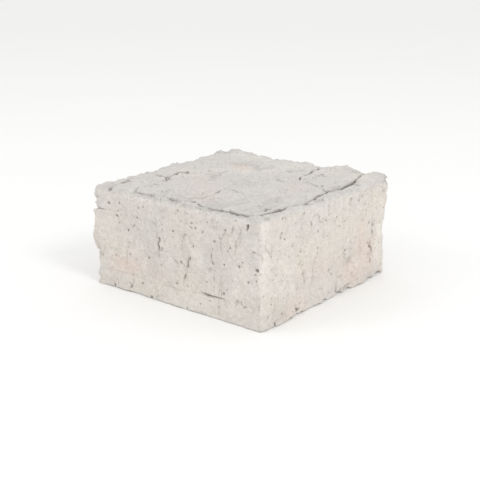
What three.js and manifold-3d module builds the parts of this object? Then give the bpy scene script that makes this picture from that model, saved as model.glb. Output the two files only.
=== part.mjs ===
// A gymnastics chalk block: one small pressed cake of magnesium carbonate, cracked and weathered.
// The cake has no fitted parts. Its cracks part it into a core, the flat plates of its top crust,
// and three loose lumps at its edges, and each of those is one mesh here.
// Millimetres. X runs along the front face, Y runs from the front to the back, Z is up.

import * as THREE from 'three';
import { mergeVertices } from 'three/addons/utils/BufferGeometryUtils.js';
import Module from 'manifold-3d';

const wasm = await Module();
wasm.setup();

// Driving dimensions
const WIDTH = 51; // along X
const DEPTH = 52; // along Y
const HEIGHT = 25.4; // the nominal top, which the plates undulate about
const CRACK = 0.35; // gap between two neighbouring lumps
const PLATE_THICKNESS = 3.4; // of the top crust
const LEFT_LUMP_HEIGHT = 6.1; // down to the ledge on the front face
const RIGHT_LUMP_HEIGHT = 4.4;
const FLAKE_DEPTH = 5.5; // how far the low flake goes in from the front face
const FACET = 2.9; // longest facet of the weathered skin
const EDGE_REACH = 8; // the higher, the closer to its own edge a face's relief stays
const CRACK_STEP = 2.4; // longest straight run of a crack
const CRACK_WANDER = 0.35; // how far a crack strays from its line
const BEDDING_FACET = 5; // longest facet of the crack plane under the top lumps
const BEDDING_HEAVE = 0.7; // how far that plane rises and falls
const BEYOND = 3; // how far a cutting outline passes the skin

// Relief of the skin: slow waves, and swellings as [place along, place up, reach along, reach up, rise]
const WAVE = 0.16;
const FRONT_SWELLS = [
  [-26, 23.3, 5, 2, 1.1],
  [-26, 18.6, 5, 1.6, 1.3], // shoulder under the left lump
  [-26, 11.6, 6, 3.4, 1],
  [-26, 2, 7, 3.6, 0.95],
  [8, 12, 9, 7, -0.25],
];
const LEFT_SWELLS = [
  [-26, 23.3, 5, 2, 1],
  [-26, 18.6, 5, 1.6, 1.2],
  [-26, 11.6, 6, 3.4, 1],
  [-26, 2, 7, 3.6, 0.9],
  [4, 9, 10, 6, -0.4],
  [18, 17, 6, 5, 0.4],
];
const RIGHT_SWELLS = [
  [-20, 1, 6, 5, 0.9], // foot beside the front edge
  [26, 24.4, 5, 2.4, 0.7],
  [24, 10, 6, 10, -0.9], // hollow under the right lump
  [-6, 15, 9, 6, -0.2],
];
const BACK_SWELLS = [
  [26, 24.4, 5, 2.4, 0.7],
  [25, 12, 6, 10, -0.5],
  [-14, 16, 8, 6, 0.5],
  [12, 8, 8, 5, -0.5],
];
const TOP_SWELLS = [
  [-23, 20, 7, 6, 1.1], // hump at the far corner
  [-25, 16.5, 4, 2.2, 0.5],
  [-22.5, 26, 1.8, 3, 0.6],
  [-26, 27, 2, 2, -0.5],
  [-25, -15.5, 5, 3, -0.4],
  [-25, -8.5, 4, 3, -0.5],
  [-14, 26, 5, 5, -0.7],
  [-1.5, 26, 3, 4, 0.4],
  [4, 26, 3, 4, -1], // notch between two humps
  [12.5, 25, 5, 4, 1.4], // hump on the back edge
  [23, 23, 5, 5, 0.8],
  [-12.5, 13, 4, 3, -0.5],
];
const LUMP_FOOT = [-26, 20.4, 6, 1.5, -0.8]; // the left lump draws in above the shoulder
const FLAKE_BELLY = [-3, 1, 13, 4, 0.35]; // the flake stands out in its middle
const EDGE_CHIP = 0.7; // deepest chip in the bottom edges
const FLAT = 0.002; // facets that are flat to within this are made one

// Crack lines of the top crust, in plan, from junction to junction
const frontGrooveLeft = [[-13.6, -24.8], [-7.6, -24.2], [-2.9, -24.8], [2.1, -23.8]];
const frontGrooveRight = [[2.1, -23.8], [9.7, -24.2], [14, -24.8], [18.4, -24.6], [23, -24.2]];
const rightGrooveNear = [[23, -24.2], [24, -16.6]];
const rightGrooveMiddle = [[24, -16.6], [23.6, -8.5], [23, -2], [22.3, 3.6]];
const rightGrooveFar = [[22.3, 3.6], [22.6, 12.6]];
const lumpGroove = [[22.6, 12.6], [21, 19], [18.4, DEPTH / 2 + BEYOND]];
const frontCrack = [[2.1, -23.8], [2.4, -19.6], [3.7, -16], [3.1, -10]];
const crossCrack = [[3.1, -10], [6.3, -11.2], [12.5, -13.8], [19, -16.5], [24, -16.6]];
const lumpLedge = [[-13.6, -24.8], [-14.6, -16.6], [-16.4, -10.8]];
const leftLedge = [[-16.4, -10.8], [-21.1, -10.2], [-WIDTH / 2 - BEYOND, -9.4]];
const bandCrack = [[-16.4, -10.8], [-9.7, -11], [-1.4, -11.1], [3.1, -10]];
const middleCrack = [[-16.4, -10.8], [-17.8, -4.8], [-15.4, -4], [-8.5, -0.5], [-4, 2.5]];
const rearLeftCrack = [[-4, 2.5], [-8, 8.5], [-12.6, 13], [-20, 13.6], [-WIDTH / 2 - BEYOND, 15]];
const shortCrack = [[3.1, -10], [2.2, -4], [4.9, 4.1]];
const linkCrack = [[-4, 2.5], [0.5, 4.6], [4.9, 4.1]];
const rearCrack = [[4.9, 4.1], [9.4, 3.5], [12.6, 5.2]];
const rearRightCrack = [[12.6, 5.2], [15.5, 5.8], [22.3, 3.6]];
const backLedge = [[12.6, 5.2], [9.6, 9.8], [8.7, 14.7], [5.8, 23.3], [5, DEPTH / 2 + BEYOND]];

// Lines past the skin that close the outlines of the lumps at the block's own edges
const aroundFrontLeft = [[-WIDTH / 2 - BEYOND, -DEPTH / 2 - BEYOND], [-13.6, -DEPTH / 2 - BEYOND]];
const aroundBackLeft = [[-WIDTH / 2 - BEYOND, DEPTH / 2 + BEYOND]];
const aroundBackRight = [[WIDTH / 2 + BEYOND, DEPTH / 2 + BEYOND], [WIDTH / 2 + BEYOND, 12.6]];

// The low flake's outline on the front face, as X and Z
const FLAKE_OUTLINE = [
  [-21.4, 4.6], [-19, -BEYOND], [17.4, -BEYOND], [15.2, 5],
  [9, 4.9], [2.6, 4.1], [-7.4, 4.2], [-14.7, 4.5],
];

const CHALK = 0xd9d3cc;
const PINK_CHALK = 0xd6cdc8;
const CREAM_CHALK = 0xddd6ca;
const CHALK_ROUGHNESS = 0.95;

/** Two slow waves crossing, between -1 and 1. The phase keeps one face's waves apart from another's. */
function waves(u, v, phase) {
  const long = Math.sin(0.21 * u + 0.13 * v + phase) * Math.cos(0.17 * v - 0.08 * u + 2.3 * phase);
  const short = Math.sin(0.63 * u - 0.39 * v + 1.7 * phase) * Math.cos(0.57 * v + 0.31 * u + phase);
  return 0.6 * long + 0.4 * short;
}

/** Height of a face's relief at (u, v): its waves and its swellings. */
function relief(u, v, phase, swells) {
  let height = WAVE * waves(u, v, phase);
  for (const [atU, atV, reachU, reachV, rise] of swells) {
    height += rise * Math.exp(-(((u - atU) / reachU) ** 2) - ((v - atV) / reachV) ** 2);
  }
  return height;
}

/**
 * The whole block's skin. A lump's own shift can raise it, tilt it [along X, along Y]
 * and add swellings of its own to the front and left faces.
 */
function weatheredBlock(rise = 0, tilt = [0, 0], own = []) {
  const segments = [WIDTH, DEPTH, HEIGHT].map((length) => Math.ceil(length / FACET));
  const geometry = new THREE.BoxGeometry(WIDTH, DEPTH, HEIGHT, ...segments);
  geometry.translate(0, 0, HEIGHT / 2);
  const position = geometry.attributes.position;
  for (let i = 0; i < position.count; i++) {
    const [x, y, z] = [position.getX(i), position.getY(i), position.getZ(i)];
    const sideX = x > 0 ? relief(y, z, 1, RIGHT_SWELLS) : relief(y, z, 2, [...LEFT_SWELLS, ...own]);
    const sideY = y > 0 ? relief(x, z, 3, BACK_SWELLS) : relief(x, z, 4, [...FRONT_SWELLS, ...own]);
    const top = rise + tilt[0] * x + tilt[1] * y + relief(x, y, 5, TOP_SWELLS);
    const nearX = Math.abs((2 * x) / WIDTH) ** EDGE_REACH;
    const nearY = Math.abs((2 * y) / DEPTH) ** EDGE_REACH;
    const nearTop = (z / HEIGHT) ** EDGE_REACH;
    const onBottomEdge = z === 0 && Math.max(nearX, nearY) === 1;
    const chip = onBottomEdge ? EDGE_CHIP * Math.max(0, waves(3 * x, 3 * y, 6)) : 0;
    position.setXYZ(
      i,
      x + Math.sign(x) * nearX * sideX,
      y + Math.sign(y) * nearY * sideY,
      z + nearTop * top + chip,
    );
  }
  return geometry;
}

/** A closed geometry as a solid that can be cut and joined. */
function solid(geometry) {
  const bare = geometry.clone();
  bare.deleteAttribute('normal');
  bare.deleteAttribute('uv');
  const merged = mergeVertices(bare, 1e-4);
  return new wasm.Manifold(new wasm.Mesh({
    numProp: 3,
    vertProperties: new Float32Array(merged.attributes.position.array),
    triVerts: new Uint32Array(merged.index.array),
  }));
}

/** A solid's surface as a geometry again. */
function surface(body) {
  const mesh = body.getMesh();
  const geometry = new THREE.BufferGeometry();
  geometry.setAttribute('position', new THREE.BufferAttribute(new Float32Array(mesh.vertProperties), 3));
  geometry.setIndex(new THREE.BufferAttribute(new Uint32Array(mesh.triVerts), 1));
  geometry.computeVertexNormals();
  return geometry;
}

/** Lines joined end to end into one closed outline, with each shared end kept once. */
function joined(...lines) {
  const points = lines.flat();
  return points.filter((point, i) => {
    const before = points.at(i - 1);
    return point[0] !== before[0] || point[1] !== before[1];
  });
}

function back(line) {
  return [...line].reverse();
}

/** A closed outline broken into short runs that wander. Each place wanders one way, so neighbours agree. */
function cracked(outline) {
  return outline.flatMap(([x, y], i) => {
    const [nextX, nextY] = outline[(i + 1) % outline.length];
    const runs = Math.ceil(Math.hypot(nextX - x, nextY - y) / CRACK_STEP);
    return Array.from({ length: runs }, (_, run) => {
      const [u, v] = [x + ((nextX - x) * run) / runs, y + ((nextY - y) * run) / runs];
      return [u + CRACK_WANDER * waves(5 * u, 5 * v, 7), v + CRACK_WANDER * waves(5 * v, 5 * u, 8)];
    });
  });
}

/** An anticlockwise outline moved outwards by a distance, or inwards by a negative one. */
function offset(outline, distance) {
  const points = outline.map(([x, y]) => new THREE.Vector2(x, y));
  if (THREE.ShapeUtils.isClockWise(points)) points.reverse();
  return points.map((point, i) => {
    const before = points[(i + points.length - 1) % points.length];
    const after = points[(i + 1) % points.length];
    const first = point.clone().sub(before).normalize();
    const second = after.clone().sub(point).normalize();
    const across = first.clone().add(second).normalize();
    const outwards = new THREE.Vector2(across.y, -across.x);
    const stretch = Math.max(0.5, across.dot(first));
    return point.clone().addScaledVector(outwards, distance / stretch);
  });
}

/** Everything above the crack plane that lies this deep, which rises and falls across the block. */
function aboveBedding(depth) {
  const [width, length] = [WIDTH, DEPTH].map((side) => side + 2 * (BEYOND + CRACK));
  const thickness = depth + 2 * BEYOND;
  const segments = [width, length].map((side) => Math.ceil(side / BEDDING_FACET));
  const geometry = new THREE.BoxGeometry(width, length, thickness, ...segments, 1);
  geometry.translate(0, 0, HEIGHT - depth + thickness / 2);
  const position = geometry.attributes.position;
  for (let i = 0; i < position.count; i++) {
    const bottomHere = position.getZ(i) < HEIGHT;
    const heave = bottomHere ? BEDDING_HEAVE * waves(position.getX(i), position.getY(i), 9) : 0;
    position.setZ(i, position.getZ(i) + heave);
  }
  return solid(geometry);
}

/** The room of a top lump: an upright prism over its outline, down to the bedding at this depth. */
function topRoom(outline, distance, depth) {
  const shape = new THREE.Shape(offset(cracked(outline), distance));
  const bottom = HEIGHT - depth - 2 * BEDDING_HEAVE;
  const geometry = new THREE.ExtrudeGeometry(shape, { depth: HEIGHT + BEYOND - bottom, bevelEnabled: false });
  return solid(geometry.translate(0, 0, bottom)).intersect(aboveBedding(depth));
}

/** The room of the low flake: a level prism that reaches in from the front face. */
function flakeRoom(distance, reach) {
  const shape = new THREE.Shape(offset(cracked(FLAKE_OUTLINE), distance));
  const geometry = new THREE.ExtrudeGeometry(shape, { depth: reach + BEYOND, bevelEnabled: false });
  return solid(geometry.rotateX(Math.PI / 2).translate(0, reach - DEPTH / 2, 0));
}

// The lumps that reach the top: outline, depth, and each one's own shift and swellings of the skin
const topLumps = [
  {
    name: 'front_plate',
    outline: joined(frontGrooveLeft, frontCrack, back(bandCrack), back(lumpLedge)),
    depth: PLATE_THICKNESS, rise: 0.05, tilt: [0.004, 0.01], colour: PINK_CHALK,
  },
  {
    name: 'front_right_plate',
    outline: joined(frontGrooveRight, rightGrooveNear, back(crossCrack), back(frontCrack)),
    depth: PLATE_THICKNESS, rise: -0.15, tilt: [0.006, -0.006], colour: CHALK,
  },
  {
    name: 'middle_plate',
    outline: joined(bandCrack, shortCrack, back(linkCrack), back(middleCrack)),
    depth: PLATE_THICKNESS, rise: -0.3, tilt: [-0.01, 0.012], colour: CHALK,
  },
  {
    name: 'right_plate',
    outline: joined(crossCrack, rightGrooveMiddle, back(rearRightCrack), back(rearCrack), back(shortCrack)),
    depth: PLATE_THICKNESS, rise: 0.1, tilt: [-0.012, 0.01], colour: CREAM_CHALK,
  },
  {
    name: 'left_plate',
    outline: joined(back(leftLedge), middleCrack, rearLeftCrack),
    depth: PLATE_THICKNESS, rise: 0.3, tilt: [-0.006, 0.01], colour: PINK_CHALK,
  },
  {
    name: 'rear_left_plate',
    outline: joined(back(rearLeftCrack), linkCrack, rearCrack, backLedge, aroundBackLeft),
    depth: PLATE_THICKNESS, rise: 0.1, tilt: [-0.008, 0.012], colour: CHALK,
  },
  {
    name: 'rear_right_plate',
    outline: joined(rearRightCrack, rightGrooveFar, lumpGroove, back(backLedge)),
    depth: PLATE_THICKNESS, rise: 0.25, tilt: [0.01, -0.01], colour: CREAM_CHALK,
  },
  {
    name: 'left_corner_lump',
    outline: joined(aroundFrontLeft, lumpLedge, leftLedge),
    depth: LEFT_LUMP_HEIGHT, rise: -0.05, tilt: [-0.006, 0.006], own: [LUMP_FOOT], colour: PINK_CHALK,
  },
  {
    name: 'right_corner_lump',
    outline: joined(lumpGroove, aroundBackRight),
    depth: RIGHT_LUMP_HEIGHT, rise: 0.1, tilt: [0, 0], colour: CREAM_CHALK,
  },
];

/** One lump as a mesh with a material of its own. */
function chalkMesh(name, body, colour) {
  const look = { color: colour, roughness: CHALK_ROUGHNESS, metalness: 0 };
  const mesh = new THREE.Mesh(surface(body), new THREE.MeshStandardMaterial(look));
  mesh.name = name;
  return mesh;
}

const block = new THREE.Group();
let core = solid(weatheredBlock());

for (const { name, outline, depth, rise, tilt, own, colour } of topLumps) {
  const body = solid(weatheredBlock(rise, tilt, own)).intersect(topRoom(outline, -CRACK / 2, depth));
  block.add(chalkMesh(name, body, colour));
  core = core.subtract(topRoom(outline, CRACK / 2, depth + CRACK));
}

const flakeSkin = solid(weatheredBlock(0, [0, 0], [FLAKE_BELLY]));
const flake = flakeSkin.intersect(flakeRoom(-CRACK / 2, FLAKE_DEPTH));
block.add(chalkMesh('front_foot_flake', flake, CHALK));
core = core.subtract(flakeRoom(CRACK / 2, FLAKE_DEPTH + CRACK));
block.add(chalkMesh('core', core.simplify(FLAT), CHALK));

// The origin is under the middle of the whole block, on the face that it rests on.
const extent = new THREE.Box3().setFromObject(block, true);
const middle = extent.getCenter(new THREE.Vector3());
block.position.set(-middle.x, -middle.y, -extent.min.z);

const chalkBlock = new THREE.Group();
chalkBlock.add(block);

export default chalkBlock;
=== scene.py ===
"""A gymnastics chalk block: one small pressed cake of magnesium carbonate, cracked, pitted and powdery.

The CAD nodes give the lumps and the cracks between them. Each lump is turned into a distance field, its skin
is roughened with seeded noise, worn edges, fissures and pores, and the field is meshed again as one closed
piece. Lengths are millimetres, in the frame of the CAD, up to where a mesh, a light or the camera is made.
"""

import math

import bpy
import numpy as np
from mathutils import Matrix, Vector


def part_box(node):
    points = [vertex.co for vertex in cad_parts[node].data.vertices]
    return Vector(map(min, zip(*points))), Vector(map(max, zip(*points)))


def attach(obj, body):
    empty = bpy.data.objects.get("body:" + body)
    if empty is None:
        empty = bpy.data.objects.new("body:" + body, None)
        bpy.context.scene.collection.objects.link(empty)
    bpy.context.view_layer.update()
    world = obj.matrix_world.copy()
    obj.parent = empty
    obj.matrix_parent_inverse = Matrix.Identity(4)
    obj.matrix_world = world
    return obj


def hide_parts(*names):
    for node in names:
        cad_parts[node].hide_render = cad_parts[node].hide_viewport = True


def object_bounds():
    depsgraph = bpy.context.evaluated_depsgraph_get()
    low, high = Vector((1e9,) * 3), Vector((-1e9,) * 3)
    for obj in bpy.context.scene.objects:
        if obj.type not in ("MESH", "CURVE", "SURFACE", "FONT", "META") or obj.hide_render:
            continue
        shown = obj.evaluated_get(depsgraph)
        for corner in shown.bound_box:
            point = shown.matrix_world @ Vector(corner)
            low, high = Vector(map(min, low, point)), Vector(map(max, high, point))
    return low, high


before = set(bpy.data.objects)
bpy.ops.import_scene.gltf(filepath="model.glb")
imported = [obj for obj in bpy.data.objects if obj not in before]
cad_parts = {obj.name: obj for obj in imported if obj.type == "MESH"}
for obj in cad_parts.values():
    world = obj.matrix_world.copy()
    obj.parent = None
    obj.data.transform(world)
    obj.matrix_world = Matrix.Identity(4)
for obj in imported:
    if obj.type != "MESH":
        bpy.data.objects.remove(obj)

import openvdb
from mathutils import Vector

MM = 0.001
CAD_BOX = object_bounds()
LOW, HIGH = [np.array(corner) / MM for corner in CAD_BOX]
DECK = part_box("front_plate")[1][2] / MM  # the top of the block, without the humps at its back
SLOTS = {
    "core": "body_chalk",
    "front_foot_flake": "body_chalk",
    "front_plate": "crust_chalk",
    "front_right_plate": "crust_chalk",
    "middle_plate": "crust_chalk",
    "right_plate": "crust_chalk",
    "left_plate": "crust_chalk",
    "rear_left_plate": "crust_chalk",
    "rear_right_plate": "crust_chalk",
    "left_corner_lump": "edge_chalk",
    "right_corner_lump": "edge_chalk",
}

# The grid that the distance fields are worked out on
VOXEL = 0.2
REACH = 1.7  # how far a field is true on each side of its skin
MARGIN = 1.8  # room round the block
ROOM = 1  # room round each lump
START = np.floor((LOW - MARGIN) / VOXEL).astype(int)
COUNT = np.ceil((HIGH + MARGIN) / VOXEL).astype(int) - START + 1
AXES = [(START[a] + np.arange(COUNT[a])) * VOXEL for a in range(3)]
X = AXES[0][:, None, None]
Y = AXES[1][None, :, None]
Z = AXES[2][None, None, :]

# The axes that a face or a noise runs over
WHOLE = (0, 1, 2)
PLAN = (0, 1)
ALONG_X = (0, 2)  # the front and the rear
ALONG_Y = (1, 2)  # the right and the left

# Cracks and edges
HALF_CRACK = 0.175
CLOSING = 0.3  # more than half the width of a crack
GROWTH = 0.27  # how far each lump grows where the crack beside it is closed
CRACK_ROUNDING = 0.15  # over which the skin turns into the wall of a crack
EDGE_BELL = 0.9  # radius of the blur that tells edges from flat skin

# Where one face turns into the next
TOP_BLEND = (DECK - 2, DECK - 0.6)  # heights
CORNER_BLEND = 0.5

# Fissures as [points along it, half width, depth], in each face's own two axes
FRONT_FISSURES = [
    [[(-15, 12.7), (-15.2, 9.8)], 0.6, 0.4],
    [[(-4.9, 15.2), (-4, 13.2), (-4.2, 11)], 0.8, 0.55],
    [[(-3.8, 9.2), (-4.1, 6)], 0.6, 0.35],
    [[(4.4, 12), (3.7, 9.2), (2.8, 6)], 0.55, 0.35],
    [[(11.8, 16), (11.9, 13), (11, 10.6)], 0.65, 0.4],
    [[(15.3, 14.4), (15.4, 11.8)], 0.5, 0.45],
    [[(-7.5, 24.4), (-7.6, 22.7)], 0.4, 0.3],
    [[(-18.9, 4.2), (-19.3, 0.4)], 0.6, 0.4],
    [[(-13, 4), (-13.4, 1.2)], 0.6, 0.4],
    [[(19.1, 5.6), (20.8, 4.4), (24.6, 4.9)], 0.45, 0.4],
    [[(23.6, 25.4), (22.2, 22.4)], 0.6, 0.6],
    [[(-13.6, 19.4), (-9.8, 19.2), (-7.6, 18.9)], 0.4, 0.3],
    [[(-8.6, 17.8), (-9, 15.4)], 0.6, 0.25],
    [[(10, 16.8), (8.4, 17)], 0.4, 0.25],
]
RIGHT_FISSURES = [
    [[(19.2, 16), (19.1, 13.2), (19, 8), (18.8, 4.6)], 0.38, 0.6],
    [[(19.2, 12.6), (18.9, 8.4)], 0.5, 0.9],
    [[(7.6, 24.6), (7.9, 21.8)], 0.4, 0.45],
    [[(-9.6, 9.8), (-10.1, 6.8)], 1.2, 0.35],
    [[(2.6, 6.4), (2.7, 4.2)], 0.6, 0.35],
    [[(1.9, 11.4), (1.9, 8.8)], 0.4, 0.3],
    [[(-18.5, 21.8), (-18.3, 19.4)], 0.5, 0.35],
    [[(-10.4, 24.4), (-10.5, 21.8)], 0.5, 0.4],
    [[(-13.9, 2.4), (-12, 1.4), (-10.6, 0.4)], 0.7, 0.55],
    [[(-21.7, 2.4), (-21.2, 0.8)], 0.5, 0.4],
    [[(14.6, 20.6), (14.5, 18)], 0.5, 0.35],
    [[(9.6, 12.6), (9.4, 9.6)], 0.5, 0.25],
]
TOP_FISSURES = [
    [[(-20.2, -25), (-21.2, -21), (-22.4, -17)], 0.9, 1.1],
    [[(-13.4, -25.5), (-8, -25.9)], 0.55, 0.8],
    [[(-6.8, -25.9), (-3, -25.7), (0.6, -25)], 0.55, 0.8],
    [[(13.4, 4.6), (15.4, 6.4)], 0.9, 0.5],
    [[(21.7, -19.8), (21.2, -17.6)], 0.9, 1.1],
    [[(21.2, -17.4), (20.6, -14)], 0.7, 0.6],
    [[(22.4, 20), (25, 21.8)], 0.5, 0.45],
    [[(-13.8, -21.6), (-11.4, -17)], 0.7, 0.3],
    [[(-8.8, 14.6), (-12.6, 12)], 1.2, 0.4],
    [[(-10.5, 0), (-7.4, -3.2)], 1, 0.3],
]

# Where a crack shows on the skin, as [points along it, reach of the zone, depth of its groove]
TOP_CRACKS = [
    [[(-11.5, -24.5), (-2, -24.5)], 2.6, 1],
    [[(1.2, -24), (4.2, -24)], 2.6, 1.7],
    [[(6, -24.4), (14, -24.4)], 3, 0.75],
    [[(15, -24.6), (24, -24.2)], 3, 1],
    [[(23.8, -23), (23.4, -8), (22.4, 14)], 3.4, 1.1],
    [[(2.3, -23), (3.4, -14)], 2.4, 0.5],
    [[(3.1, -10), (6.3, -11.2)], 2, 0.5],
    [[(-13.8, -23), (-14.6, -16.6)], 2.6, 0.35],
    [[(-21, -10.2), (-16.6, -10.8)], 2.6, 0.55],
    [[(9.8, 9.6), (8.7, 14.7), (5.8, 24)], 3, 0.6],
    [[(4.9, 4.1), (10, 3.8)], 2.2, 0.5],
    [[(-16.6, -10), (-17.8, -4.8), (-15.4, -4)], 2, 0.45],
    [[(22.4, 13), (19, 24)], 3, 0.6],
]
FRONT_CRACKS = [
    [[(-26, 19.4), (-21.5, 19)], 3, 0.35],
    [[(-20.5, 4.6), (-12, 4.4)], 2, 0.16],
    [[(-9, 4.2), (6, 4.2)], 2.6, 0.14],
    [[(9.6, 4.8), (14.2, 5)], 2.2, 0.35],
]
# Rims of the core outside its grooves that lie one or two steps lower than the plates, in plan
LOW_RIMS = [
    [[(-12.5, -26), (-1, -26.2)], 2.2, 2],
    [[(-1, -26.2), (8, -26), (23, -26)], 2.1, 1],
    [[(26.2, -25), (26, -12), (25.6, 2)], 2.6, 1],
]
LOW_RIM = 0.26  # one step
HAIRLINE = 0.06  # depth of a groove in the top where no zone is

# Edges that are hardly chipped, in plan, as [points, reach, share of the chips that are missing]
FIRM_EDGES = [
    [[(-22, -26), (24, -26)], 3, 0.6],
    [[(5, -26), (19, -26)], 3, 1],
    [[(26, -9), (26, -2)], 3, 0.8],
    [[(26, 21), (26, 26)], 6, 0.8],
    [[(-26, -26), (-26, -20)], 4, 0.7],
]
# The foot of the side faces that is chipped the most, in the same way
RAGGED_FOOT = [
    [[(26, -21), (26, -11)], 3, 0.8],
    [[(26, 5), (26, 12)], 4, 1],
    [[(26, 16), (26, 25)], 4, 1],
    [[(-22, -26), (-18, -26)], 3, 0.4],
    [[(-26, -20), (-26, 20)], 3, 0.5],
]

# Stains and painted light as [points, reach, strength], in each face's own two axes, for the front, the
# right and the top
STAINS_AND_PAINTED_LIGHT = {
    "rose": (
        [[[(-19, 7), (-12, 6.6), (-4, 6)], 4.5, 0.7], [[(-14, 11), (-10, 9)], 4, 0.3]],
        [
            [[(9, 3.5), (18, 5)], 7, 0.9],
            [[(13, 14), (14, 8), (20, 9)], 6, 0.8],
            [[(-17, 2), (-9, 3)], 5, 0.5],
            [[(-10, 10), (4, 9)], 5, 0.5],
        ],
        [[[(-11, 12), (-7, 7.6)], 4, 0.5], [[(-12, -6), (4, -18)], 9, 0.3], [[(14, -4), (14, 2)], 6, 0.3]],
    ),
    "cream": (
        [[[(-25, 14), (-19, 12)], 6, 0.5], [[(-14, 2), (-6, 2)], 4.5, 0.4], [[(5, 7), (12, 5)], 6, 0.5]],
        [[[(-12, 14), (2, 16), (20, 20)], 7, 0.5], [[(-22, 6), (-18, 12)], 6, 0.4]],
        [[[(-20, -18), (-16, -22)], 6, 0.3], [[(14, 20), (22, 18)], 6, 0.4]],
    ),
    # Light: lighter patches of chalk, and on the right face beside the near edge a painted highlight
    "light": (
        [
            [[(-22, 16), (-24, 8)], 5, 0.2],
            [[(4, 18), (7, 13)], 5, 0.5],
            [[(21, 14), (19, 4)], 5, 0.5],
            [[(-6, 2), (13, 2)], 4, 0.4],
        ],
        [
            [[(-24.6, 7), (-24.6, 23)], 3.2, 0.7],
            [[(22.6, 3), (23.2, 18)], 4, 0.6],
            [[(-16, 14), (-17, 10)], 5, 0.3],
        ],
        [
            [[(-20, 20), (8, 20)], 7, 0.4],
            [[(20, 24), (22, 18)], 5, 0.4],
            [[(-16, -4), (-4, 10), (1, 12)], 6, 0.6],
        ],
    ),
    # Grey is painted shade, laid along fissures, grooves over cracks and chips, and on the front beside the
    # near edge
    "grey": (
        [
            [[(-9, 15), (-6, 11)], 4, 0.6],
            [[(12, 15), (11, 11)], 4, 0.4],
            [[(23.6, 22), (23.8, 16)], 3, 0.4],
            [[(-6, 19), (-5, 6)], 4, 0.4],
        ],
        [[[(-11, 23), (-10, 19)], 4, 0.3], [[(13, 1), (24, 2)], 4, 0.4], [[(-23, 2), (-18, 2)], 4, 0.6]],
        [
            [[(-12.5, 12), (-11.4, 15.4)], 3, 0.7],
            [[(-10.4, 0), (-7.2, -3.4)], 2.6, 0.6],
            [[(-20.4, -25.3), (-22.1, -17.7)], 1.6, 0.8],
            [[(24.2, -23), (23.6, -8), (22.4, 14), (19, 24)], 1.8, 0.6],
            [[(20, 22), (25, 25)], 4, 0.5],
            [[(20, -17), (22, -20)], 3, 0.4],
        ],
    ),
}

# The larger pores as (place along, place up, radius), in each face's own two axes
FRONT_PORES = [
    (-14.8, 15.4, 0.32), (-21.3, 21.1, 0.34), (-10.7, 21.6, 0.26), (-9.3, 22.1, 0.3), (-7.8, 10, 0.32),
    (9.1, 19.4, 0.28), (7.3, 20, 0.26), (16, 21.2, 0.32), (22.2, 23, 0.34), (14.2, 19, 0.24),
    (19.7, 13.7, 0.34), (24.7, 13.9, 0.44), (11.3, 3.9, 0.26), (-7.2, 0.3, 0.4), (15.3, 13.2, 0.34),
]
RIGHT_PORES = [
    (-23.4, 25.3, 0.42), (-17.8, 23.7, 0.36), (-13.3, 21.6, 0.28), (-4.7, 18, 0.28), (8.4, 23, 0.36),
    (-18.4, 20.6, 0.32), (-10.4, 23.4, 0.34), (-7.6, 20.8, 0.3), (-9.8, 7.6, 0.4), (1.9, 10, 0.26),
    (-15.2, 24.6, 0.34), (-20.5, 24.6, 0.3), (12.8, 21.8, 0.28),
]
TOP_PORES = [
    (-15.6, -3.9, 0.5), (19.6, -16, 0.4), (9.6, -19.5, 0.3), (-4.2, 14.5, 0.35), (-8.5, -9, 0.25),
]
PORE_DEPTH = 1.7  # of its radius
SMALL_PORE = 0.13  # the least radius of a scattered pore
PORE_RANGE = 0.19  # how much larger the largest one is


def node_mesh(name):
    """A CAD node's points and triangles."""
    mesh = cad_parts[name].data
    mesh.calc_loop_triangles()
    points = np.empty(len(mesh.vertices) * 3, np.float32)
    mesh.vertices.foreach_get("co", points)
    corners = np.empty(len(mesh.loop_triangles) * 3, np.int32)
    mesh.loop_triangles.foreach_get("vertices", corners)
    return points.reshape(-1, 3) / MM, corners.reshape(-1, 3)


def distance_field(points, triangles, quads=None):
    """Signed distance to a closed mesh over the grid, negative inside, and level past REACH."""
    grid = openvdb.FloatGrid.createLevelSetFromPolygons(
        points.astype(np.float32),
        triangles=triangles.astype(np.uint32),
        quads=None if quads is None else quads.astype(np.uint32),
        transform=openvdb.createLinearTransform(voxelSize=VOXEL),
        halfWidth=REACH / VOXEL,
    )
    field = np.empty(COUNT, np.float32)
    grid.copyToArray(field, ijk=tuple(int(i) for i in START))
    return field


def polygons(field, first, level=0.0):
    """The skin of a field whose first cell is this one, as points, triangles and quads."""
    grid = openvdb.FloatGrid(REACH)
    grid.transform = openvdb.createLinearTransform(voxelSize=VOXEL)
    grid.gridClass = openvdb.GridClass.LEVEL_SET
    grid.copyFromArray(np.ascontiguousarray(field), ijk=tuple(int(i) for i in first))
    return grid.convertToPolygons(isovalue=level)


def lattice_weights(places, low, span, spacing):
    """Cubic B-spline weights that carry the values on a lattice to these places along one axis."""
    along = (places - low) / spacing
    cell = np.floor(along).astype(int)
    part = along - cell
    weights = np.zeros((len(places), int(span / spacing) + 5), np.float32)
    shares = (
        (1 - part) ** 3,
        3 * part**3 - 6 * part**2 + 4,
        -3 * part**3 + 3 * part**2 + 3 * part + 1,
        part**3,
    )
    for step, share in enumerate(shares):
        weights[np.arange(len(places)), cell + step] = share / 6
    return weights


def cloud(seed, axes, *spacing):
    """Smooth noise over these axes of the grid with mean 0 and deviation 1, one lump every spacing or so."""
    low = LOW - MARGIN - 1
    span = HIGH + MARGIN + 1 - low
    spread = [lattice_weights(AXES[a], low[a], span[a], step) for a, step in zip(axes, spacing)]
    lattice = np.random.default_rng(seed).standard_normal([w.shape[1] for w in spread])
    values = lattice.astype(np.float32)
    for weights in spread:
        values = np.tensordot(values, weights, axes=(0, 1))
    return values / values.std()


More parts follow.
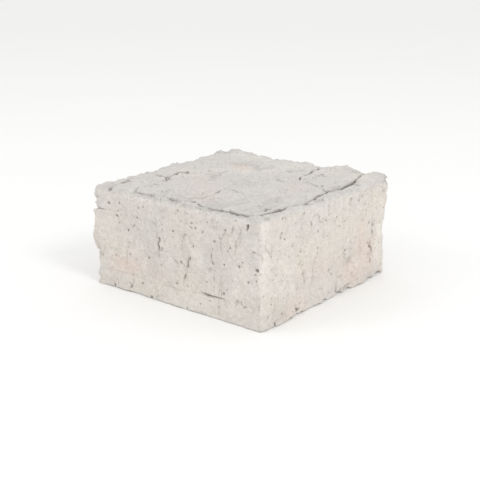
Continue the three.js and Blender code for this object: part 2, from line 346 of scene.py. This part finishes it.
def blurred(field, radius):
    """The field smoothed with a bell of this radius."""
    for axis in range(3):
        apart = (AXES[axis][:, None] - AXES[axis][None, :]) / radius
        bell = np.exp(-0.5 * apart**2)
        bell /= bell.sum(1, keepdims=True)
        field = np.tensordot(field, bell.astype(np.float32), axes=(0, 1))
    return field


def ramp(values, low, high):
    """0 below low, 1 above high, and smooth between them."""
    share = np.clip((values - low) / (high - low), 0, 1)
    return share * share * (3 - 2 * share)


def smooth_max(a, b, width):
    """The larger of two fields, with the corner between them rounded over this width."""
    near = np.maximum(width - np.abs(a - b), 0)
    return np.maximum(a, b) + near * near / (4 * width)


def along_lines(u, v, rows, wander=(0, 0)):
    """The rows' heights at each (u, v) of one face, falling to 0 at their reach. Wander bends the lines."""
    heights = np.zeros((len(u), len(v)), np.float32)
    for points, reach, height in rows:
        nearest = np.full(heights.shape, np.inf, np.float32)
        for (u0, v0), (u1, v1) in zip(points, points[1:]):
            du, dv = u1 - u0, v1 - v0
            pu, pv = u[:, None] + wander[0] - u0, v[None, :] + wander[1] - v0
            t = np.clip((pu * du + pv * dv) / (du * du + dv * dv), 0, 1)
            nearest = np.minimum(nearest, np.hypot(pu - t * du, pv - t * dv))
        heights = np.maximum(heights, height * ramp(reach - nearest, 0, reach))
    return heights


def pore_depths(u, v, pores):
    """How deep the pores cut at each (u, v) of one face."""
    depths = np.zeros((len(u), len(v)), np.float32)
    for at_u, at_v, radius in pores:
        near_u = np.abs(u - at_u) < radius
        near_v = np.abs(v - at_v) < radius
        room = np.ix_(near_u, near_v)
        away = np.hypot(u[near_u, None] - at_u, v[None, near_v] - at_v) / radius
        bowl = PORE_DEPTH * radius * np.sqrt(np.clip(1 - away**2, 0, None))
        depths[room] = np.maximum(depths[room], bowl)
    return depths


def scattered_pores(seed, u, v, count, crowding):
    """Random pores over a face, most of them small. Crowding above 1 gathers them near the top."""
    rng = np.random.default_rng(seed)
    at_u = rng.uniform(u[0], u[-1], count)
    at_v = v[0] + (v[-1] - v[0]) * rng.uniform(0, 1, count) ** (1 / crowding)
    radius = SMALL_PORE + PORE_RANGE * rng.uniform(0, 1, count) ** 4
    return list(zip(at_u, at_v, radius))


def face_depths(seed, axes, fissures, pores, count, crowding):
    """Everything that is cut into one face, as depths over its own two axes."""
    u, v = AXES[axes[0]], AXES[axes[1]]
    wander = [
        0.3 * cloud(seed + i, axes, 1, 1) + 0.14 * cloud(seed + 5 + i, axes, 0.4, 0.4)
        for i in range(2)
    ]
    broken = 0.8 + 0.4 * cloud(seed + 3, axes, 0.9, 0.9) + 0.4 * cloud(seed + 4, axes, 0.4, 0.5)
    lines = np.maximum(along_lines(u, v, fissures, wander) * np.clip(broken, 0, 1.6) - 0.1, 0)
    pits = pore_depths(u, v, pores + scattered_pores(seed + 2, u, v, count, crowding))
    return np.maximum(lines, pits)


def face_shares():
    """How much each place belongs to the top, and to the front, right, rear and left of the sides."""
    top = ramp(Z, *TOP_BLEND)
    away = (Y - LOW[1], HIGH[0] - X, HIGH[1] - Y, X - LOW[0])
    nearest = np.minimum(np.minimum(away[0], away[1]), np.minimum(away[2], away[3]))
    near = [ramp(CORNER_BLEND - (distance - nearest), 0, CORNER_BLEND) for distance in away]
    return (top, *((1 - top) * share for share in near))


def terraces(values, steps, softness):
    """Noise cut into flat treads with a short riser between each two, about 0."""
    return sum(ramp(values, step - softness, step + softness) - 0.5 for step in steps)


def relief_layers(top, right):
    """The layers of the skin's relief: what every face has, then what only the top or the sides have."""
    side = 1 - top
    swell = 0.1 * cloud(11, WHOLE, 4, 4, 4)
    lumps = 0.085 * cloud(12, WHOLE, 1.8, 1.8, 1.8)
    grain = 0.05 * cloud(13, WHOLE, 0.8, 0.8, 0.8)
    fine = 0.03 * cloud(14, WHOLE, 0.42, 0.42, 0.42)
    patches = ramp(cloud(15, WHOLE, 5, 5, 5), -0.8, 1)
    yield swell + lumps + (0.35 + patches) * (grain + fine)

    yield side * (0.025 + 0.05 * right) * cloud(16, WHOLE, 0.6, 0.6, 3.2)
    yield top * 0.03 * cloud(17, WHOLE, 0.6, 2.6, 0.8)

    flakes = cloud(19, WHOLE, 3.2, 5, 2.4) + 0.35 * cloud(20, WHOLE, 0.9, 1.3, 0.9)
    yield top * 0.26 * terraces(flakes, (-1.1, -0.2, 0.7), 0.1)
    folds = np.abs(cloud(25, WHOLE, 2.4, 4.2, 2.4) + 0.2 * cloud(26, WHOLE, 0.7, 0.9, 0.7))
    yield top * 0.22 * patches * ramp(0.16 - folds, 0, 0.16)

    peels = cloud(22, WHOLE, 2.6, 2.6, 5) + 0.35 * cloud(23, WHOLE, 0.8, 0.8, 1.1)
    yield side * 0.12 * terraces(peels, (-0.6, 0.8), 0.15)


def skin_relief(skin, edge, shares):
    """How far each place of the skin is worn back from the CAD's. Edge is high at edges."""
    top, _, right, _, _ = shares
    worn = np.zeros(COUNT, np.float32)
    for layer in relief_layers(top, right):
        worn += layer
    worn *= ramp(np.abs(skin + Z), 0, 0.4)  # the underside stays flat

    rims = along_lines(AXES[0], AXES[1], LOW_RIMS)[:, :, None]
    worn += top * LOW_RIM * (ramp(rims, 0, 0.6) + ramp(rims, 1, 1.6))

    foot = 1 - ramp(Z, 2, 4)
    chips = cloud(18, WHOLE, 2.4, 2.4, 2.4) + 0.4 * cloud(24, WHOLE, 0.8, 0.8, 0.8)
    ragged = foot * along_lines(AXES[0], AXES[1], RAGGED_FOOT)[:, :, None]
    worn += edge * ragged * 1.5 * ramp(chips, -0.6, 1.4)
    loose = 1 - along_lines(AXES[0], AXES[1], FIRM_EDGES)[:, :, None]
    return worn + edge * (0.1 + loose * (0.7 + 1.6 * foot) * ramp(chips, 0.5, 2))


def skin_cuts(shares):
    """The depth of the fissures, pores and scratches in the skin."""
    top, front, right, rear, left = shares
    cuts = front * face_depths(31, ALONG_X, FRONT_FISSURES, FRONT_PORES, 340, 1.2)[:, None, :]
    for depth in (
        right * face_depths(41, ALONG_Y, RIGHT_FISSURES, RIGHT_PORES, 460, 1.7)[None, :, :],
        top * face_depths(51, PLAN, TOP_FISSURES, TOP_PORES, 120, 1)[:, :, None],
        rear * face_depths(61, ALONG_X, [], [], 240, 1.2)[:, None, :],
        left * face_depths(71, ALONG_Y, [], [], 240, 1.2)[None, :, :],
    ):
        cuts = np.maximum(cuts, depth)
    scratches = ramp(0.15 - np.abs(cloud(27, WHOLE, 1.4, 1.4, 4)), 0, 0.15)
    scratched = ramp(cloud(28, WHOLE, 2.4, 2.4, 3) + 0.06 * (Z - 12), -0.1, 1.1)
    scratches *= 0.34 * (1 - top) * scratched
    return np.maximum(cuts, scratches) * ramp(Z, 0.1, 0.5)


def stain_and_painted_light(seed, rows, shares):
    """How strong one kind of stain is at each place; grey also carries painted shade and light a painted
    highlight.
    """
    top, front, right, rear, left = shares
    on_front, on_right, on_top = rows
    strength = front * along_lines(AXES[0], AXES[2], on_front)[:, None, :]
    strength += right * along_lines(AXES[1], AXES[2], on_right)[None, :, :]
    strength += top * along_lines(AXES[0], AXES[1], on_top)[:, :, None]
    strength += 0.3 * (rear + left) * ramp(cloud(seed, WHOLE, 7, 7, 7), 0.4, 1.6)
    return strength * np.clip(1 + 0.3 * cloud(seed + 1, WHOLE, 3, 3, 3), 0, 2)


def crack_depth(shares):
    """How deep the groove over a crack would be at each place."""
    top, front, _, rear, left = shares
    faint = top * HAIRLINE * np.clip(1 + cloud(81, WHOLE, 4, 4, 4), 0, 3)
    zones = top * along_lines(AXES[0], AXES[1], TOP_CRACKS)[:, :, None]
    zones = np.maximum(zones, front * along_lines(AXES[0], AXES[2], FRONT_CRACKS)[:, None, :])
    back_sides = np.clip(0.25 * cloud(82, WHOLE, 5, 5, 5), 0, 0.6) * np.maximum(rear, left)
    zones = np.maximum(zones, back_sides)
    return faint + zones * np.clip(1 + 0.25 * cloud(83, WHOLE, 1.4, 1.4, 1.4), 0.3, 1.7)


def sampled(field, first, points):
    """The field's value at the cell nearest each point."""
    cell = np.rint(points / VOXEL).astype(int) - first
    cell = np.clip(cell, 0, np.array(field.shape) - 1)
    return field[tuple(cell.T)]


def piece_from(name, points, triangles, quads):
    """A new smooth mesh object from points in millimetres."""
    mesh = bpy.data.meshes.new(name)
    corners = np.concatenate([triangles.ravel(), quads.ravel()]).astype(np.int32)
    starts = np.concatenate(
        [np.arange(len(triangles)) * 3, len(triangles) * 3 + np.arange(len(quads)) * 4]
    ).astype(np.int32)
    mesh.vertices.add(len(points))
    mesh.vertices.foreach_set("co", (points * MM).astype(np.float32).ravel())
    mesh.loops.add(len(corners))
    mesh.loops.foreach_set("vertex_index", corners)
    mesh.polygons.add(len(starts))
    mesh.polygons.foreach_set("loop_start", starts)
    mesh.update(calc_edges=True)
    mesh.shade_smooth()
    piece = bpy.data.objects.new(name + "_chalk", mesh)
    bpy.context.scene.collection.objects.link(piece)
    return piece


def lump_fields():
    """Each node's distance field in its own room, and over the whole grid the nearest and second nearest."""
    lumps = {}
    nearest = np.full(COUNT, REACH, np.float32)
    second = nearest.copy()
    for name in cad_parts:
        field = distance_field(*node_mesh(name))
        low, high = [np.array(corner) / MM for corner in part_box(name)]
        first = np.maximum(np.floor((low - ROOM) / VOXEL).astype(int) - START, 0)
        last = np.minimum(np.ceil((high + ROOM) / VOXEL).astype(int) - START + 1, COUNT)
        room = tuple(slice(a, b) for a, b in zip(first, last))
        lumps[name] = (room, field[room].copy())
        second = np.minimum(second, np.maximum(field, nearest))
        nearest = np.minimum(nearest, field)
    return lumps, nearest, second


def worn_skin(nearest, from_crack):
    """The block's worn skin as a field, the groove over a crack, and what the materials need to know."""
    skin = distance_field(*polygons(nearest, START, CLOSING)) + CLOSING
    softened = blurred(skin, EDGE_BELL) - skin
    steps = 0.1 + 0.2 * ramp(1.5 - from_crack, 0, 1)  # the CAD's own facets, which stand out at cracks
    facets = np.clip(softened, -steps, 0.1)
    edge = np.maximum(softened - facets, 0)
    shares = face_shares()
    groove = crack_depth(shares)
    width = 0.2 + 0.5 * np.minimum(groove, 1)
    lips = groove * ramp(width - from_crack, 0, width)
    cuts = np.maximum(skin_cuts(shares), lips)
    rough = np.maximum(skin + facets + skin_relief(skin, edge, shares) + cuts, -Z)
    marks = {kind: stain_and_painted_light(91 + 2 * i, rows, shares) for i, (kind, rows) in enumerate(STAINS_AND_PAINTED_LIGHT.items())}
    # depth and cut are where the materials paint shade and dirt into hollows, crack walls and cuts
    marks.update(depth=-skin, cut=cuts, crust=shares[0] + np.zeros_like(skin))
    return rough, groove, marks


def weathered_pieces():
    """One fine piece for each CAD node."""
    lumps, nearest, second = lump_fields()
    rough, groove, marks = worn_skin(nearest, second - HALF_CRACK)
    shrink = GROWTH * (ramp(groove, 0.4, 1) - 1)
    pieces = {}
    for name, (room, body) in lumps.items():
        field = smooth_max(body + shrink[room], rough[room], CRACK_ROUNDING)
        first = START + np.array([s.start for s in room])
        points, triangles, quads = polygons(field, first)
        piece = piece_from(name, points, triangles, quads)
        for kind, values in marks.items():
            mark = piece.data.attributes.new(kind, "FLOAT", "POINT")
            mark.data.foreach_set("value", np.clip(sampled(values[room], first, points), 0, REACH))
        pieces[name] = piece
    return pieces


class Nodes:
    """A material's node tree, with short ways to add to it."""

    def __init__(self, name):
        self.material = bpy.data.materials.new(name)
        self.material.use_nodes = True
        self.tree = self.material.node_tree
        self.shader = self.tree.nodes["Principled BSDF"]
        self.place = self.add("ShaderNodeTexCoord").outputs["Object"]

    def add(self, kind, inputs=None, **settings):
        """A new node with these settings, and with its inputs linked or set."""
        node = self.tree.nodes.new(kind)
        for key, value in settings.items():
            setattr(node, key, value)
        for key, value in (inputs or {}).items():
            if isinstance(value, bpy.types.NodeSocket):
                self.tree.links.new(value, node.inputs[key])
            else:
                node.inputs[key].default_value = value
        return node

    def noise(self, size, detail=3.0, rough=0.55, stretch=(1, 1, 1)):
        """Noise between 0 and 1 whose lumps are about this many millimetres across."""
        place = self.add(
            "ShaderNodeVectorMath", {0: self.place, 1: stretch}, operation="MULTIPLY"
        ).outputs[0]
        return self.add(
            "ShaderNodeTexNoise",
            {"Vector": place, "Scale": 1 / (size * MM), "Detail": detail, "Roughness": rough},
        ).outputs["Fac"]

    def mapped(self, value, low, high, to_low=0.0, to_high=1.0):
        """The value carried smoothly from one range to another."""
        return self.add(
            "ShaderNodeMapRange",
            {"Value": value, "From Min": low, "From Max": high, "To Min": to_low, "To Max": to_high},
            interpolation_type="SMOOTHSTEP",
        ).outputs["Result"]

    def maths(self, operation, a, b):
        return self.add("ShaderNodeMath", {0: a, 1: b}, operation=operation).outputs[0]

    def mixed(self, share, a, b, blend="MIX"):
        """Colour a with this share of colour b."""
        node = self.add("ShaderNodeMix", data_type="RGBA", blend_type=blend)
        for socket, value in ((0, share), (6, a), (7, b)):
            if isinstance(value, bpy.types.NodeSocket):
                self.tree.links.new(value, node.inputs[socket])
            else:
                node.inputs[socket].default_value = value
        return node.outputs[2]

    def finish(self, colour, height, distance):
        """The material with this colour, and a bump this many millimetres high."""
        bump = self.add(
            "ShaderNodeBump", {"Height": height, "Distance": distance * MM, "Strength": 0.6}
        )
        self.tree.links.new(colour, self.shader.inputs["Base Color"])
        self.tree.links.new(bump.outputs[0], self.shader.inputs["Normal"])
        self.shader.inputs["Specular IOR Level"].default_value = 0.2
        return self.material


def linear(red, green, blue):
    """A colour given in sRGB, 0 to 255, as Blender's linear RGBA."""
    return tuple(
        (c / 255 / 12.92) if c <= 10 else ((c / 255 + 0.055) / 1.055) ** 2.4 for c in (red, green, blue)
    ) + (1.0,)


# Painted shade and dirt, for the pinholes, the cuts and the hollows
PIT_SHADE_AND_DIRT = linear(118, 111, 102)
CRUST_TINT = (0.925, 0.94, 0.96, 1)  # what the top's colour is multiplied by
# Each stain's share and colour; grey is also painted shade, and light also a painted highlight
STAIN_AND_PAINTED_LIGHT_COLOURS = {
    "rose": (0.7, linear(217, 201, 191)),
    "cream": (0.6, linear(215, 210, 196)),
    "light": (0.7, linear(228, 223, 214)),
    "grey": (0.6, linear(192, 188, 181)),
}
SPECKLES = ((3.2, 0.965, 1.03), (0.9, 0.94, 1.05), (0.32, 0.9, 1.09))  # size, darkest, lightest
PINHOLE_CELL = 1.05
PINHOLE_RADIUS = 0.17  # of a cell


def chalk(name, base, tint):
    """Pressed chalk: stains in a pale ground, some of them painted shade and a painted highlight, a fine
    speckle, and painted shade and dirt in the pinholes, cuts and hollows.
    """
    nodes = Nodes(name)
    marks = {
        kind: nodes.add("ShaderNodeAttribute", attribute_name=kind).outputs["Fac"]
        for kind in (*STAINS_AND_PAINTED_LIGHT, "depth", "cut", "crust")
    }
    colour = nodes.mixed(nodes.mapped(nodes.noise(8), 0.45, 0.66, 0, 0.6), base, tint)
    colour = nodes.mixed(marks["crust"], colour, CRUST_TINT, "MULTIPLY")
    for kind, (share, marked_colour) in STAIN_AND_PAINTED_LIGHT_COLOURS.items():
        colour = nodes.mixed(nodes.maths("MULTIPLY", marks[kind], share), colour, marked_colour)
    for size, low, high in SPECKLES:
        speckle = nodes.mapped(nodes.noise(size, 3, 0.6), 0.28, 0.72, low, high)
        grey = nodes.add("ShaderNodeCombineColor", {0: speckle, 1: speckle, 2: speckle}).outputs[0]
        colour = nodes.mixed(1.0, colour, grey, "MULTIPLY")
    # Pinholes: dark dots of painted shade and dirt, for pores too small to mesh
    cells = nodes.add("ShaderNodeTexVoronoi", {"Vector": nodes.place, "Scale": 1 / (PINHOLE_CELL * MM)})
    size = nodes.mapped(cells.outputs["Color"], 0.3, 1, 0.0, PINHOLE_RADIUS)
    pinhole = nodes.maths("LESS_THAN", cells.outputs["Distance"], size)
    colour = nodes.mixed(nodes.maths("MULTIPLY", pinhole, 0.65), colour, PIT_SHADE_AND_DIRT)
    # Painted shade and dirt in the cuts, and in the hollows and crack walls below the skin
    colour = nodes.mixed(nodes.mapped(marks["cut"], 0.08, 0.7, 0.0, 0.66), colour, PIT_SHADE_AND_DIRT)
    colour = nodes.mixed(nodes.mapped(marks["depth"], 0.3, 1.2, 0.0, 0.5), colour, PIT_SHADE_AND_DIRT)
    powder = nodes.noise(0.25, 4, 0.65)
    nodes.shader.inputs["Roughness"].default_value = 0.95
    return nodes.finish(colour, powder, 0.12)


def floor_material():
    """Pale matt paper."""
    nodes = Nodes("pale_floor")
    tone = nodes.mixed(nodes.noise(60), linear(244, 244, 243), linear(247, 247, 246))
    nodes.shader.inputs["Roughness"].default_value = 0.8
    return nodes.finish(tone, nodes.noise(2), 0.01)


def floor():
    """A wide square under the block."""
    mesh = bpy.data.meshes.new("floor")
    reach = 6.0
    corners = [(-reach, -reach, 0), (reach, -reach, 0), (reach, reach, 0), (-reach, reach, 0)]
    mesh.from_pydata(corners, [], [(0, 1, 2, 3)])
    made = bpy.data.objects.new("floor", mesh)
    bpy.context.scene.collection.objects.link(made)
    mesh.materials.append(floor_material())


LIT = (0, 0, 0.012)  # where the lights point, in metres


def area_light(name, place, size, power):
    """A round soft light that shines on the middle of the block."""
    data = bpy.data.lights.new(name, "AREA")
    data.shape = "DISK"
    data.size = size
    data.energy = power
    light = bpy.data.objects.new(name, data)
    bpy.context.scene.collection.objects.link(light)
    light.location = place
    light.rotation_mode = "QUATERNION"
    light.rotation_quaternion = (Vector(LIT) - Vector(place)).to_track_quat("-Z", "Y")


def studio():
    """Soft light from all round, with a little more from the right."""
    world = bpy.data.worlds.new("studio")
    world.use_nodes = True
    background = world.node_tree.nodes["Background"]
    background.inputs["Color"].default_value = (1, 1, 1, 1)
    background.inputs["Strength"].default_value = 0.95
    bpy.context.scene.world = world
    area_light("key", (0.5, -0.1, 0.4), 0.2, 0.9)
    area_light("fill", (-0.35, -0.5, 0.4), 0.3, 0.5)
    bpy.context.scene.view_settings.view_transform = "Standard"


def camera():
    """A three-quarter view from a little above, with the near corner right of the middle."""
    azimuth, elevation = math.radians(39.87), math.radians(16.87)
    lens, sensor = 65.1, 36.0
    distance, aside, below = 217.36, -1.29, -2.70
    level = math.cos(elevation)
    back = Vector((math.sin(azimuth) * level, -math.cos(azimuth) * level, math.sin(elevation)))
    right = Vector((math.cos(azimuth), math.sin(azimuth), 0))
    up = back.cross(right)
    aim = Vector((0.04, 0.26, 12.7))
    data = bpy.data.cameras.new("camera")
    data.lens = lens
    data.sensor_width = sensor
    data.clip_start = 0.01
    data.clip_end = 50
    made = bpy.data.objects.new("camera", data)
    bpy.context.scene.collection.objects.link(made)
    made.location = (aim + back * distance + right * aside + up * below) * MM
    made.rotation_mode = "QUATERNION"
    made.rotation_quaternion = (-back).to_track_quat("-Z", "Y")
    bpy.context.scene.camera = made


materials = {
    "body_chalk": chalk("body_chalk", linear(211, 206, 200), linear(212, 205, 198)),
    "crust_chalk": chalk("crust_chalk", linear(211, 206, 200), linear(211, 205, 199)),
    "edge_chalk": chalk("edge_chalk", linear(211, 206, 200), linear(212, 206, 198)),
}
for node, piece in weathered_pieces().items():
    piece.data.materials.append(materials[SLOTS[node]])
    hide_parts(node)
    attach(piece, "root")
floor()
studio()
camera()
